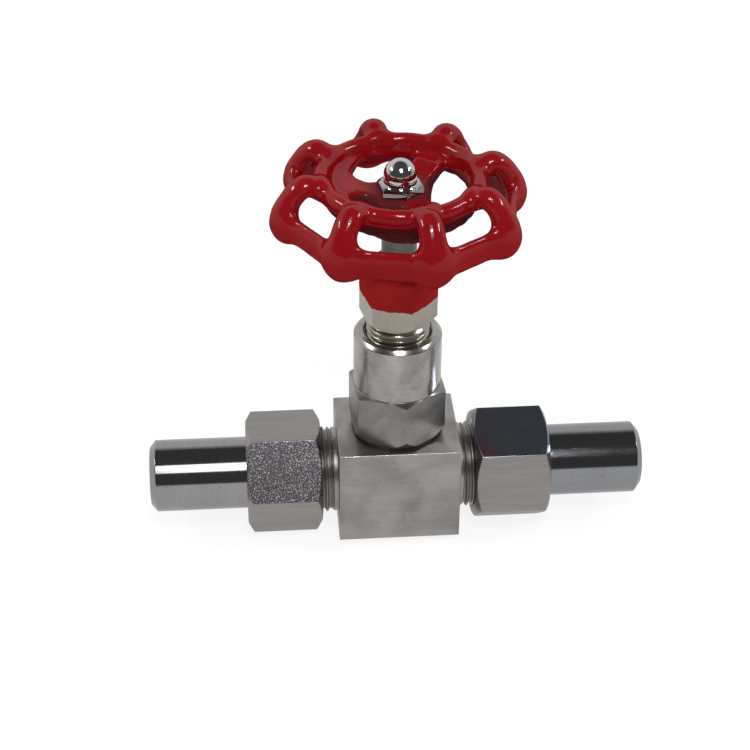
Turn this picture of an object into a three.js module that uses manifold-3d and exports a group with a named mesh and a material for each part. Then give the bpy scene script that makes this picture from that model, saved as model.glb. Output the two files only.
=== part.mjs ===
// Needle valve: square bar body, screwed bonnet with packed gland, union ends for
// butt-weld pipe and a cast handwheel. Millimetres, +Z up, X along the pipe run.
// The origin is the centre of the body's underside. Inside the file heights are
// measured from the run axis, and the whole valve is lifted by half a bar at the end.
import * as THREE from "three";
import { mergeVertices } from "three/addons/utils/BufferGeometryUtils.js";
import Module from "manifold-3d";

const wasm = await Module();
wasm.setup();

// Clearances and overruns
const runningGap = 0.2;
const seatGap = 0.15;
const cutOverrun = 1.0;

// Facets round a circle
const outsideSides = 48;
const insideSides = 24;

// Square bar body and its two threaded necks
const bodyLength = 30.8;
const barSide = 26.4;
const barEdgeChamfer = 0.5;
const neckRadius = 10.85;
const neckLength = 16.1;
const neckChamfer = 0.9;
const passageRadius = 2.6;
const seatRadius = 2.4;
const seatLand = 1.0;
const seatHeight = -1.0;
const wellDepth = 5.5;
const chamberRadius = 6.2;
const bonnetThreadRadius = 9.4;
const bonnetThreadDepth = 8.3;

// Bonnet
const gasketThickness = 0.8;
const gasketRadius = 10.9;
const bonnetAcrossFlats = 22.4;
const bonnetHexHeight = 13.4;
const bonnetTopChamfer = 0.8;
const bonnetFootRadius = 11.6;
const bonnetFootHeight = 2.4;
const barrelRadius = 10.98;
const barrelHeight = 14.9;
const barrelChamfer = 0.6;
const bonnetHexTurn = 36;
const stuffingRadius = 6.8;
const stuffingDepth = 21.3;
const glandThreadRadius = 7.8;
const glandThreadDepth = 8.3;

// Packing and gland
const baseRingHeight = 1.2;
const packingRingHeight = 2.6;
const packingRings = 4;
const followerSleeve = 2.4;
const followerFlange = 2.2;
const glandShowing = 4.1;
const glandAcrossFlats = 17.0;
const glandHexHeight = 13.6;
const glandChamfer = 0.9;
const glandHexTurn = 45.3;

// Stem and needle
const stemRadius = 4.3;
const stemThreadRadius = 5.0;
const stemThreadLength = 8.7;
const stemThreadStart = 6.0;
const stemFoot = 2.9;
const stemFootRadius = 4.2;
const stemShowing = 10.6;
const stemSquare = 6.0;
const studRadius = 2.5;
const studLength = 6.0;
const studChamfer = 0.6;
const socketMouthRadius = 1.8;
const socketMouthDepth = 0.6;
const socketRadius = 2.6;
const socketHeight = 2.5;
const needleRadius = 3.7;
const needleNeckRadius = 1.5;
const needleHeadRadius = 2.3;
const needleHeadHeight = 1.7;
const needlePointRadius = 0.6;
const coneHalfAngle = THREE.MathUtils.degToRad(30);

// Handwheel, heights above the hub's underside
const hubRadius = 7.4;
const hubHeight = 9.9;
const hubChamfer = 0.8;
const padRadius = 6.0;
const padHeight = 0.3;
const ringRadius = 18.6;
const ringHalfWidth = 2.0;
const ringHalfHeight = 2.4;
const ringMiddle = 13.2;
const skirtThickness = 1.8;
const skirtFoot = 10.0;
const skirtChamfer = 0.5;
const fingerCount = 8;
const fingerTurn = 11.2;
const fingerHalfWidth = 3.1;
const fingerHalfDepth = 2.6;
const crestShare = 0.48;
const crestMiddle = 14.65;
const shoulderShare = 0.82;
const shoulderMiddle = 11.6;
const kneeOut = 0.2;
const kneeMiddle = 6.5;
const rimRadius = 28.4;
const rimMiddle = 5.4;
const rimHalfWidth = 1.45;
const rimHalfHeight = 3.65;
const knobHalfWidth = 3.4;
const knobHalfDepth = 2.4;
const knobHalfHeight = 3.8;
const spokeCount = 3;
const spokeTurn = 55;
const spokeHalfWidth = 3.8;
const spokeFillet = 4.0;
const spokeHeelRadius = 9.2;
const spokeHeel = 1.0;
const spokeArchRadius = 13.2;
const spokeArch = 5.4;
const spokeShoulderRadius = 8.4;
const spokeShoulder = 11.2;
const spokeTipRadius = 12.5;
const spokeTip = 12.6;

// Acorn nut
const acornAcrossFlats = 10.0;
const acornHexHeight = 2.4;
const acornChamfer = 0.4;
const acornDomeRadius = 4.0;
const acornHeight = 8.3;
const acornCrown = 2.0;
const acornHexTurn = 40.8;

// Unions: seal, weld nipple and nut, measured outward from the stem axis
const sealThickness = 1.5;
const sealRadius = 9.9;
const pipeRadius = 9.2;
const pipeBore = 6.0;
const nippleCollarRadius = 10.2;
const nippleCollar = 2.0;
const pipeEnd = 63.2;
const weldBevelRadius = 1.8;
const weldBevelLength = 1.5;
const nutAcrossFlats = 27.0;
const nutInner = 19.5;
const nutOuter = 38.6;
const nutChamferRadius = 13.0;
const nutChamferLength = 1.3;
const nutTurnLeft = 34.95;
const nutTurnRight = 48.8;

// Levels that follow from the sizes above
const blockEnd = bodyLength / 2;
const barTop = barSide / 2;
const bonnetSeat = barTop + gasketThickness;
const barrelStart = bonnetSeat + bonnetHexHeight;
const bonnetTop = barrelStart + barrelHeight;
const stuffingFloor = bonnetTop - stuffingDepth;
const packingFoot = stuffingFloor + baseRingHeight;
const packingTop = packingFoot + packingRings * packingRingHeight;
const followerFlangeFoot = packingTop + followerSleeve;
const followerTop = followerFlangeFoot + followerFlange;
const glandHexStart = bonnetTop + glandShowing;
const glandTop = glandHexStart + glandHexHeight;
const hubFoot = glandTop + stemShowing;
const hubTop = hubFoot + hubHeight;
const acornSeat = hubTop + padHeight;
const neckEnd = blockEnd + neckLength;
const nippleStart = neckEnd + sealThickness;
const collarEnd = nippleStart + nippleCollar;
const stemBore = stemRadius + runningGap;

// Turns a three.js geometry into a solid that can be joined and cut.
function solid(geometry) {
  const bare = geometry.index ? geometry.toNonIndexed() : geometry.clone();
  bare.deleteAttribute("normal");
  bare.deleteAttribute("uv");
  const merged = mergeVertices(bare);
  const corners = merged.index.array;
  const kept = [];
  for (let i = 0; i < corners.length; i += 3) {
    const [a, b, c] = corners.slice(i, i + 3);
    if (a !== b && b !== c && c !== a) kept.push(a, b, c);
  }
  const vertProperties = merged.attributes.position.array;
  const triVerts = new Uint32Array(kept);
  return new wasm.Manifold(new wasm.Mesh({ numProp: 3, vertProperties, triVerts }));
}

// Turns a solid back into a geometry for display.
function geometryOf(shape) {
  const mesh = shape.getMesh();
  const geometry = new THREE.BufferGeometry();
  geometry.setAttribute("position", new THREE.BufferAttribute(mesh.vertProperties, 3));
  geometry.setIndex(new THREE.BufferAttribute(mesh.triVerts, 1));
  geometry.computeVertexNormals();
  return geometry;
}

// A solid of revolution about Z from [radius, height] points, walked anticlockwise.
function turned(profile, sides = outsideSides) {
  const points = profile.map(([radius, height]) => new THREE.Vector2(radius, height));
  return solid(new THREE.LatheGeometry(points, sides).rotateX(Math.PI / 2));
}

// A plain round bar about Z between two heights.
function bar(radius, low, high, sides = outsideSides) {
  const ends = [[0, low], [radius, low], [radius, high], [0, high]];
  return turned(ends, sides);
}

// A ring about Z between two radii and two heights.
function ring(inner, outer, low, high, sides = outsideSides) {
  const section = [[inner, low], [outer, low], [outer, high], [inner, high], [inner, low]];
  return turned(section, sides);
}

// A hexagonal bar about Z, with one corner turned by an angle in degrees from X.
function hexBar(acrossFlats, low, high, turn) {
  const cornerRadius = acrossFlats / Math.sqrt(3);
  const outline = new THREE.Shape();
  for (let corner = 0; corner < 6; corner++) {
    const angle = THREE.MathUtils.degToRad(turn + corner * 60);
    const x = cornerRadius * Math.cos(angle);
    const y = cornerRadius * Math.sin(angle);
    if (corner === 0) outline.moveTo(x, y);
    else outline.lineTo(x, y);
  }
  const depth = high - low;
  const prism = new THREE.ExtrudeGeometry(outline, { depth, bevelEnabled: false });
  return solid(prism.translate(0, 0, low));
}

// A round bar laid between two points of the XZ plane, used for the drilled passages.
function drilled(radius, fromX, fromZ, toX, toZ) {
  const start = new THREE.Vector3(fromX, 0, fromZ);
  const end = new THREE.Vector3(toX, 0, toZ);
  const along = end.clone().sub(start);
  const rod = new THREE.CylinderGeometry(radius, radius, along.length(), insideSides);
  const up = new THREE.Vector3(0, 1, 0);
  const turn = new THREE.Quaternion().setFromUnitVectors(up, along.clone().normalize());
  const middle = start.add(end).multiplyScalar(0.5);
  return solid(rod.applyQuaternion(turn).translate(middle.x, middle.y, middle.z));
}

// Turns a geometry drawn along X about the stem by an angle in degrees.
function aroundStem(geometry, turn) {
  return solid(geometry.rotateZ(THREE.MathUtils.degToRad(turn)));
}

// An ellipse to be swept or extruded.
function oval(halfWidth, halfHeight) {
  const outline = new THREE.Shape();
  outline.absellipse(0, 0, halfWidth, halfHeight, 0, 2 * Math.PI);
  return outline;
}

const finishes = {
  barSteel: { color: 0x98938d, roughness: 0.42, metalness: 1.0 },
  turnedSteel: { color: 0xa7a4a0, roughness: 0.22, metalness: 1.0 },
  plainSteel: { color: 0x8e8b88, roughness: 0.5, metalness: 1.0 },
  nickel: { color: 0xb9b2a4, roughness: 0.3, metalness: 1.0 },
  chrome: { color: 0xcfcdcc, roughness: 0.08, metalness: 1.0 },
  enamel: { color: 0x8c1219, roughness: 0.15, metalness: 0.0 },
  packing: { color: 0xe6e4de, roughness: 0.55, metalness: 0.0 },
  gasketSheet: { color: 0x2b2b2d, roughness: 0.7, metalness: 0.0 },
  softSeal: { color: 0xb4713f, roughness: 0.45, metalness: 1.0 },
};

// Gives a solid its name and its finish.
function piece(name, shape, finish) {
  const material = new THREE.MeshStandardMaterial(finishes[finish]);
  const mesh = new THREE.Mesh(geometryOf(shape), material);
  mesh.name = name;
  return mesh;
}

// Square bar with a threaded neck at each end, drilled from both ends to the seat.
function bodyBlock() {
  const edge = barEdgeChamfer;
  const half = barSide / 2;
  const section = new THREE.Shape();
  section.moveTo(half - edge, -half);
  section.lineTo(half, edge - half);
  section.lineTo(half, half - edge);
  section.lineTo(half - edge, half);
  section.lineTo(edge - half, half);
  section.lineTo(-half, half - edge);
  section.lineTo(-half, edge - half);
  section.lineTo(edge - half, -half);
  const block = new THREE.ExtrudeGeometry(section, { depth: bodyLength, bevelEnabled: false });
  block.translate(0, 0, -blockEnd);
  block.rotateY(Math.PI / 2);
  const necks = new THREE.LatheGeometry(
    [
      new THREE.Vector2(0, -neckEnd),
      new THREE.Vector2(neckRadius - neckChamfer, -neckEnd),
      new THREE.Vector2(neckRadius, neckChamfer - neckEnd),
      new THREE.Vector2(neckRadius, neckEnd - neckChamfer),
      new THREE.Vector2(neckRadius - neckChamfer, neckEnd),
      new THREE.Vector2(0, neckEnd),
    ],
    outsideSides,
  ).rotateZ(-Math.PI / 2);
  const wellFloor = seatHeight - wellDepth;
  const seatTopRadius = seatRadius + seatLand;
  const seatDepth = seatLand / Math.tan(coneHalfAngle);
  const threadFloor = barTop - bonnetThreadDepth - gasketThickness;
  const bore = turned(
    [
      [0, wellFloor],
      [seatRadius, wellFloor],
      [seatRadius, seatHeight - seatDepth],
      [seatTopRadius, seatHeight],
      [chamberRadius, seatHeight],
      [chamberRadius, threadFloor],
      [bonnetThreadRadius + runningGap, threadFloor],
      [bonnetThreadRadius + runningGap, barTop + cutOverrun],
      [0, barTop + cutOverrun],
    ],
    insideSides,
  );
  const mouth = neckEnd + cutOverrun;
  const inlet = drilled(passageRadius, -mouth, 0, 0, wellFloor + passageRadius);
  const outlet = drilled(passageRadius, mouth, 0, chamberRadius / 2, seatHeight + passageRadius);
  const shell = solid(block).add(solid(necks));
  return shell.subtract(bore).subtract(inlet).subtract(outlet);
}

// Hexagon with a polished barrel above it and a threaded foot that screws into the body.
function bonnet() {
  const cornerRadius = bonnetAcrossFlats / Math.sqrt(3);
  const envelope = turned([
    [0, bonnetSeat],
    [bonnetFootRadius, bonnetSeat],
    [cornerRadius, bonnetSeat + bonnetFootHeight],
    [cornerRadius, barrelStart - bonnetTopChamfer],
    [barrelRadius, barrelStart],
    [0, barrelStart],
  ]);
  const hexagon = hexBar(bonnetAcrossFlats, bonnetSeat, barrelStart, bonnetHexTurn);
  const barrel = turned([
    [0, bonnetSeat - bonnetThreadDepth],
    [bonnetThreadRadius, bonnetSeat - bonnetThreadDepth],
    [bonnetThreadRadius, bonnetSeat + gasketThickness],
    [barrelRadius - barrelChamfer, barrelStart - barrelChamfer],
    [barrelRadius, barrelStart],
    [barrelRadius, bonnetTop - barrelChamfer],
    [barrelRadius - barrelChamfer, bonnetTop],
    [0, bonnetTop],
  ]);
  const glandThreadFoot = bonnetTop - glandThreadDepth;
  const bore = turned(
    [
      [0, bonnetSeat - bonnetThreadDepth - cutOverrun],
      [stemThreadRadius + runningGap, bonnetSeat - bonnetThreadDepth - cutOverrun],
      [stemThreadRadius + runningGap, stuffingFloor],
      [stuffingRadius, stuffingFloor],
      [stuffingRadius, glandThreadFoot],
      [glandThreadRadius + runningGap, glandThreadFoot],
      [glandThreadRadius + runningGap, bonnetTop + cutOverrun],
      [0, bonnetTop + cutOverrun],
    ],
    insideSides,
  );
  return hexagon.intersect(envelope).add(barrel).subtract(bore);
}

// Sleeve that presses on the packing, with a flange under the gland nut.
function glandFollower() {
  return turned(
    [
      [stemBore, packingTop],
      [stuffingRadius - runningGap, packingTop],
      [stuffingRadius - runningGap, followerFlangeFoot],
      [glandThreadRadius - runningGap, followerFlangeFoot],
      [glandThreadRadius - runningGap, followerTop],
      [stemBore, followerTop],
      [stemBore, packingTop],
    ],
    insideSides,
  );
}

// Hexagonal gland nut on a threaded foot.
function glandNut() {
  const cornerRadius = glandAcrossFlats / Math.sqrt(3);
  const faceRadius = glandAcrossFlats / 2 - glandChamfer / 2;
  const envelope = turned([
    [0, glandHexStart],
    [faceRadius, glandHexStart],
    [cornerRadius, glandHexStart + glandChamfer],
    [cornerRadius, glandTop - glandChamfer],
    [faceRadius, glandTop],
    [0, glandTop],
  ]);
  const hexagon = hexBar(glandAcrossFlats, glandHexStart, glandTop, glandHexTurn);
  const foot = bar(glandThreadRadius, followerTop, glandHexStart + glandChamfer);
  const bore = bar(stemBore, followerTop - cutOverrun, glandTop + cutOverrun, insideSides);
  return hexagon.intersect(envelope).add(foot).subtract(bore);
}

// Stem: crimped socket for the needle at the foot, lifting thread, shaft, square and stud.
function stem() {
  const threadTop = stemThreadStart + stemThreadLength;
  const squareTop = acornSeat - 2 * padHeight;
  const studTop = squareTop + studLength;
  const socketTop = stemFoot + socketMouthDepth + socketHeight;
  const shaft = turned(
    [
      [0, stemFoot],
      [stemFootRadius, stemFoot],
      [stemFootRadius, stemThreadStart],
      [stemThreadRadius, stemThreadStart],
      [stemThreadRadius, threadTop],
      [stemRadius, threadTop],
      [stemRadius, hubFoot],
      [0, hubFoot],
    ],
    insideSides,
  );
  const square = new THREE.BoxGeometry(stemSquare, stemSquare, squareTop - hubFoot + cutOverrun);
  square.translate(0, 0, (hubFoot + squareTop - cutOverrun) / 2);
  const stud = turned(
    [
      [0, squareTop - cutOverrun],
      [studRadius, squareTop - cutOverrun],
      [studRadius, studTop - studChamfer],
      [studRadius - studChamfer, studTop],
      [0, studTop],
    ],
    insideSides,
  );
  const socket = turned(
    [
      [0, stemFoot - cutOverrun],
      [socketMouthRadius, stemFoot - cutOverrun],
      [socketMouthRadius, stemFoot + socketMouthDepth],
      [socketRadius, stemFoot + socketMouthDepth],
      [socketRadius, socketTop],
      [0, socketTop],
    ],
    insideSides,
  );
  return shaft.add(solid(square)).add(stud).subtract(socket);
}

// Needle: a cone parallel to the seat, a collar and a head held in the stem's socket.
function needleTip() {
  const slope = Math.tan(coneHalfAngle);
  const coneLift = seatGap / Math.sin(coneHalfAngle);
  const coneBase = seatHeight + coneLift + (needleRadius - seatRadius - seatLand) / slope;
  const point = coneBase - (needleRadius - needlePointRadius) / slope;
  const collarTop = stemFoot - seatGap;
  const headFoot = stemFoot + socketMouthDepth + seatGap;
  return turned(
    [
      [0, point],
      [needlePointRadius, point],
      [needleRadius, coneBase],
      [needleRadius, collarTop],
      [needleNeckRadius, collarTop],
      [needleNeckRadius, headFoot],
      [needleHeadRadius, headFoot],
      [needleHeadRadius, headFoot + needleHeadHeight],
      [0, headFoot + needleHeadHeight],
    ],
    insideSides,
  );
}

// One finger: an oval tube that leaves the ring, passes a crest and drops to the rim.
function finger(turn) {
  const reach = rimRadius - ringRadius;
  const stations = [
    [ringRadius, ringMiddle],
    [ringRadius + crestShare * reach, crestMiddle],
    [ringRadius + shoulderShare * reach, shoulderMiddle],
    [rimRadius + kneeOut, kneeMiddle],
    [rimRadius, rimMiddle],
  ];
  const points = stations.map(([radius, height]) => new THREE.Vector3(radius, 0, hubFoot + height));
  const path = new THREE.CatmullRomCurve3(points, false, "catmullrom", 0.5);
  const tube = new THREE.ExtrudeGeometry(oval(fingerHalfWidth, fingerHalfDepth), {
    extrudePath: path,
    steps: 10,
    curveSegments: 6,
  });
  return aroundStem(tube, turn);
}

// The rounded foot of a finger, at a corner of the eight-sided rim.
function knob(turn) {
  const ball = new THREE.SphereGeometry(1, 14, 9);
  ball.rotateX(Math.PI / 2);
  ball.scale(knobHalfDepth, knobHalfWidth, knobHalfHeight);
  ball.translate(rimRadius, 0, hubFoot + rimMiddle);
  return aroundStem(ball, turn);
}

// One straight side of the rim, from one finger to the next.
function rimSide(turn) {
  const halfAngle = Math.PI / fingerCount;
  const length = 2 * rimRadius * Math.sin(halfAngle);
  const side = new THREE.ExtrudeGeometry(oval(rimHalfWidth, rimHalfHeight), {
    depth: length,
    bevelEnabled: false,
    curveSegments: 7,
  });
  side.translate(0, 0, -length / 2);
  side.rotateX(Math.PI / 2);
  side.translate(rimRadius * Math.cos(halfAngle), 0, hubFoot + rimMiddle);
  return aroundStem(side, turn);
}

// Plan of one opening between two spokes, centred on X, with rounded outer corners.
function spokeOpening(turn) {
  const halfPitch = Math.PI / spokeCount;
  const inside = ringRadius - ringHalfWidth;
  const onSpoke = (run) => [
    run * Math.cos(halfPitch) + spokeHalfWidth * Math.sin(halfPitch),
    run * Math.sin(halfPitch) - spokeHalfWidth * Math.cos(halfPitch),
  ];
  const outerRun = Math.sqrt(inside ** 2 - spokeHalfWidth ** 2);
  const innerRun = Math.sqrt(hubRadius ** 2 - spokeHalfWidth ** 2);
  const [startX, startY] = onSpoke(innerRun);
  const [beforeX, beforeY] = onSpoke(outerRun - spokeFillet);
  const [cornerX, cornerY] = onSpoke(outerRun);
  const ringAngle = Math.atan2(cornerY, cornerX) - spokeFillet / inside;
  const ringX = inside * Math.cos(ringAngle);
  const ringY = inside * Math.sin(ringAngle);
  const outline = new THREE.Path();
  outline.moveTo(startX, startY);
  outline.lineTo(startX, -startY);
  outline.lineTo(beforeX, -beforeY);
  outline.quadraticCurveTo(cornerX, -cornerY, ringX, -ringY);
  outline.absarc(0, 0, inside, -ringAngle, ringAngle);
  outline.quadraticCurveTo(cornerX, cornerY, beforeX, beforeY);
  const angle = THREE.MathUtils.degToRad(turn);
  const spun = outline.getPoints(6).map((point) => point.rotateAround(new THREE.Vector2(), angle));
  const opening = new THREE.Path();
  opening.setFromPoints(spun);
  return opening;
}

// Spokes: a dished disc with three openings, deep at the hub and arched underneath.
function spokes() {
  const dish = turned([
    [0, hubFoot + spokeHeel],
    [spokeHeelRadius, hubFoot + spokeHeel],
    [spokeArchRadius, hubFoot + spokeArch],
    [ringRadius, hubFoot + skirtFoot],
    [ringRadius, hubFoot + spokeTip],
    [spokeTipRadius, hubFoot + spokeTip],
    [spokeShoulderRadius, hubFoot + spokeShoulder],
    [padRadius, hubTop],
    [0, hubTop],
  ]);
  const plan = new THREE.Shape();
  plan.absarc(0, 0, ringRadius + ringHalfWidth, 0, 2 * Math.PI);
  for (let copy = 0; copy < spokeCount; copy++) {
    const between = spokeTurn + ((copy + 1 / 2) * 360) / spokeCount;
    plan.holes.push(spokeOpening(between));
  }
  const depth = hubHeight + spokeTip;
  const sheet = new THREE.ExtrudeGeometry(plan, { depth, bevelEnabled: false });
  return solid(sheet.translate(0, 0, hubFoot)).intersect(dish);
}

// Cast handwheel: hub, spokes, ring with its skirt, fingers and rim in one casting.
function handwheel() {
  const hub = turned([
    [0, hubFoot],
    [hubRadius - hubChamfer, hubFoot],
    [hubRadius, hubFoot + hubChamfer],
    [hubRadius, hubTop - hubChamfer],
    [hubRadius - hubChamfer, hubTop],
    [padRadius, hubTop],
    [padRadius, acornSeat],
    [0, acornSeat],
  ]);
  const ringSteps = 10;
  const ringSection = [];
  for (let step = 0; step < ringSteps; step++) {
    const angle = (step / ringSteps) * 2 * Math.PI;
    const radius = ringRadius + ringHalfWidth * Math.cos(angle);
    const height = hubFoot + ringMiddle + ringHalfHeight * Math.sin(angle);
    ringSection.push([radius, height]);
  }
  ringSection.push(ringSection[0]);
  const inside = ringRadius - ringHalfWidth;
  const outside = inside + skirtThickness;
  const skirt = turned([
    [inside, hubFoot + skirtFoot + skirtChamfer],
    [inside + skirtChamfer, hubFoot + skirtFoot],
    [outside - skirtChamfer, hubFoot + skirtFoot],
    [outside, hubFoot + skirtFoot + skirtChamfer],
    [outside, hubFoot + ringMiddle],
    [inside, hubFoot + ringMiddle],
    [inside, hubFoot + skirtFoot + skirtChamfer],
  ]);
  let wheel = hub.add(turned(ringSection)).add(skirt);
  const pitch = 360 / fingerCount;
  for (let copy = 0; copy < fingerCount; copy++) {
    const turn = fingerTurn + copy * pitch;
    wheel = wheel.add(finger(turn)).add(knob(turn)).add(rimSide(turn + pitch / 2));
  }
  wheel = wheel.add(spokes());
  const holeSide = stemSquare + 2 * runningGap;
  const holeHeight = acornSeat - hubFoot + 2 * cutOverrun;
  const hole = new THREE.BoxGeometry(holeSide, holeSide, holeHeight);
  hole.translate(0, 0, (hubFoot + acornSeat) / 2);
  return wheel.subtract(solid(hole));
}

// Domed nut that holds the handwheel down on the stem.
function acornNut() {
  const cornerRadius = acornAcrossFlats / Math.sqrt(3);
  const hexTop = acornSeat + acornHexHeight;
  const faceRadius = acornAcrossFlats / 2;
  const envelope = turned([
    [0, acornSeat],
    [faceRadius, acornSeat],
    [cornerRadius, acornSeat + acornChamfer],
    [cornerRadius, hexTop - acornChamfer],
    [faceRadius, hexTop],
    [0, hexTop],
  ]);
  const hexagon = hexBar(acornAcrossFlats, acornSeat, hexTop, acornHexTurn);
  const domeTop = acornSeat + acornHeight;
  const domeCentre = domeTop - acornDomeRadius;
  const dome = [[0, hexTop - acornChamfer], [acornDomeRadius, hexTop - acornChamfer]];
  const domeSteps = 6;
  for (let step = 0; step < domeSteps; step++) {
    const angle = (step / domeSteps) * (Math.PI / 2);
    const radius = acornDomeRadius * Math.cos(angle);
    dome.push([radius, domeCentre + acornDomeRadius * Math.sin(angle)]);
  }
  dome.push([0, domeTop]);
  const thread = bar(
    studRadius + runningGap,
    acornSeat - cutOverrun,
    domeTop - acornCrown,
    insideSides,
  );
  return hexagon.intersect(envelope).add(turned(dome)).subtract(thread);
}

// Union nut: hexagon chamfered at both ends, bored for the neck, with a back wall.
function unionNut(turn) {
  const cornerRadius = nutAcrossFlats / Math.sqrt(3);
  const envelope = turned([
    [0, nutInner],
    [nutChamferRadius, nutInner],
    [cornerRadius, nutInner + nutChamferLength],
    [cornerRadius, nutOuter - nutChamferLength],
    [nutChamferRadius, nutOuter],
    [0, nutOuter],
  ]);
  const hexagon = hexBar(nutAcrossFlats, nutInner, nutOuter, turn);
  const bore = turned(
    [
      [0, nutInner - cutOverrun],
      [neckRadius + runningGap, nutInner - cutOverrun],
      [neckRadius + runningGap, collarEnd],
      [pipeRadius + runningGap, collarEnd],
      [pipeRadius + runningGap, nutOuter + cutOverrun],
      [0, nutOuter + cutOverrun],
    ],
  );
  return hexagon.intersect(envelope).subtract(bore);
}

// Weld nipple: a collar held by the nut and a pipe stub bevelled for welding.
function weldNipple() {
  return turned([
    [pipeBore, nippleStart],
    [nippleCollarRadius, nippleStart],
    [nippleCollarRadius, collarEnd],
    [pipeRadius, collarEnd],
    [pipeRadius, pipeEnd - weldBevelLength],
    [pipeRadius - weldBevelRadius, pipeEnd],
    [pipeBore, pipeEnd],
    [pipeBore, nippleStart],
  ]);
}

const valve = new THREE.Group();
valve.position.set(0, 0, barTop);

valve.add(piece("body_block", bodyBlock(), "barSteel"));
const gasket = ring(bonnetThreadRadius + runningGap, gasketRadius, barTop, bonnetSeat);
valve.add(piece("bonnet_gasket", gasket, "gasketSheet"));
valve.add(piece("bonnet", bonnet(), "turnedSteel"));

const packingOutside = stuffingRadius - runningGap;
const baseRing = ring(stemBore, packingOutside, stuffingFloor, packingFoot, insideSides);
valve.add(piece("packing_base_ring", baseRing, "plainSteel"));
for (let copy = 0; copy < packingRings; copy++) {
  const low = packingFoot + copy * packingRingHeight;
  const high = packingFoot + (copy + 1) * packingRingHeight;
  const packingRing = ring(stemBore, packingOutside, low, high, insideSides);
  valve.add(piece(`packing_ring_${copy + 1}`, packingRing, "packing"));
}
valve.add(piece("gland_follower", glandFollower(), "plainSteel"));
valve.add(piece("gland_nut", glandNut(), "nickel"));

valve.add(piece("needle_tip", needleTip(), "plainSteel"));
valve.add(piece("stem", stem(), "turnedSteel"));
valve.add(piece("handwheel", handwheel(), "enamel"));
valve.add(piece("acorn_nut", acornNut(), "chrome"));

const ends = [
  { side: "left", tilt: -Math.PI / 2, turn: nutTurnLeft },
  { side: "right", tilt: Math.PI / 2, turn: nutTurnRight },
];
for (const { side, tilt, turn } of ends) {
  const union = new THREE.Group();
  union.rotation.y = tilt;
  const seal = ring(pipeBore + runningGap, sealRadius, neckEnd, nippleStart);
  union.add(piece(`union_seal_${side}`, seal, "softSeal"));
  union.add(piece(`weld_nipple_${side}`, weldNipple(), "turnedSteel"));
  union.add(piece(`union_nut_${side}`, unionNut(turn), "plainSteel"));
  valve.add(union);
}

const needleValve = new THREE.Group();
needleValve.add(valve);
export default needleValve;
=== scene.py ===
import math

import bpy
import numpy as np
from mathutils import Matrix, Vector


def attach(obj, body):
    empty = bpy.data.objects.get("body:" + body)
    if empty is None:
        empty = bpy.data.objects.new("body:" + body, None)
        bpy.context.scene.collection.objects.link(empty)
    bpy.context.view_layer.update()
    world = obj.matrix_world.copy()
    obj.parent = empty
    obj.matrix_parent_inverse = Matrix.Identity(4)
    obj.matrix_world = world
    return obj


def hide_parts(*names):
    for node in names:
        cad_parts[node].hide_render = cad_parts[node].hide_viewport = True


# Needle valve. Lengths are millimetres until a mesh is made. Heights of the valve's own
# parts are measured from the run axis, which lies RUN above the body's underside.
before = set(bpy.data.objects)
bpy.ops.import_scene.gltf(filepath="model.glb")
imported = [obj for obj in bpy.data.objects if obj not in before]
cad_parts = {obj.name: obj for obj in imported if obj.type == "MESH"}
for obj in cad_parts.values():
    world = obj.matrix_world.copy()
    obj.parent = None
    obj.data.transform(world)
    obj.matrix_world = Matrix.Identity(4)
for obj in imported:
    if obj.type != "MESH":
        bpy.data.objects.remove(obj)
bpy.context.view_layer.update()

MM = 0.001
TAU = 2 * np.pi

# Sizes of the body, bonnet and gland
RUN = 13.2
BLOCK_END, BLOCK_HALF, BLOCK_EDGE = 15.4, 13.2, 0.22
NECK_END, NECK_CREST, NECK_ROOT, PITCH = 31.5, 11.0, 10.15, 1.5
NECK_RELIEF, NECK_EASE, NECK_LIP = 1.3, 0.2, 0.1
PASSAGE, DRILL_PAST = 2.6, 1
SEAT, SEAT_MOUTH, SEAT_DEPTH = -1.0, 3.4, 1.73
WELL, WELL_BORE, CHAMBER = 5.5, 2.4, 6.2
SOCKET_TOP, SOCKET_FLOOR, SOCKET, SOCKET_EDGE = 13.2, 4.1, 9.6, 0.25
BONNET_SEAT, BARREL_START, BONNET_TOP = 14.0, 27.4, 42.3
BONNET_BASE, BONNET_SPIGOT, STEM_BORE = 5.7, 9.4, 5.2
BARREL, BARREL_STEP, BARREL_EDGE, BARREL_DROP = 10.98, 0.25, 0.9, 1.0
BOX_FLOOR, BOX_BORE = 21.0, 6.8
THROAT_FLOOR, THROAT_BORE, THROAT_EDGE = 34.0, 8.0, 0.7
GLAND_FOOT, GLAND_HEX, GLAND_TOP, GLAND_RELIEF = 37.2, 46.4, 60.0, 1.0
GLAND_HOLE, GLAND_ROOT, GLAND_CREST = 4.5, 7.0, 7.85

# Hexagons: width across flats, turn, and for the foot and then the top the radius of the round
# face and the drop of its chamfer
BONNET_AF, BONNET_TURN, BONNET_CHAMFERS = 22.4, 36.0, (11.6, 2.4, BARREL - BARREL_STEP, 0.9)
GLAND_AF, GLAND_TURN, GLAND_CHAMFERS = 17.0, 45.3, (8.2, 1.0, 8.2, 1.0)
ACORN_AF, ACORN_TURN, ACORN_CHAMFERS = 10.0, 40.8, (5.0, 0.35, 4.7, 0.55)
NUT_AF, NUT_TURN, NUT_CHAMFERS = 27.0, {"left": 34.95, "right": 48.8}, (13.0, 1.5, 13.0, 1.5)

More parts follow.
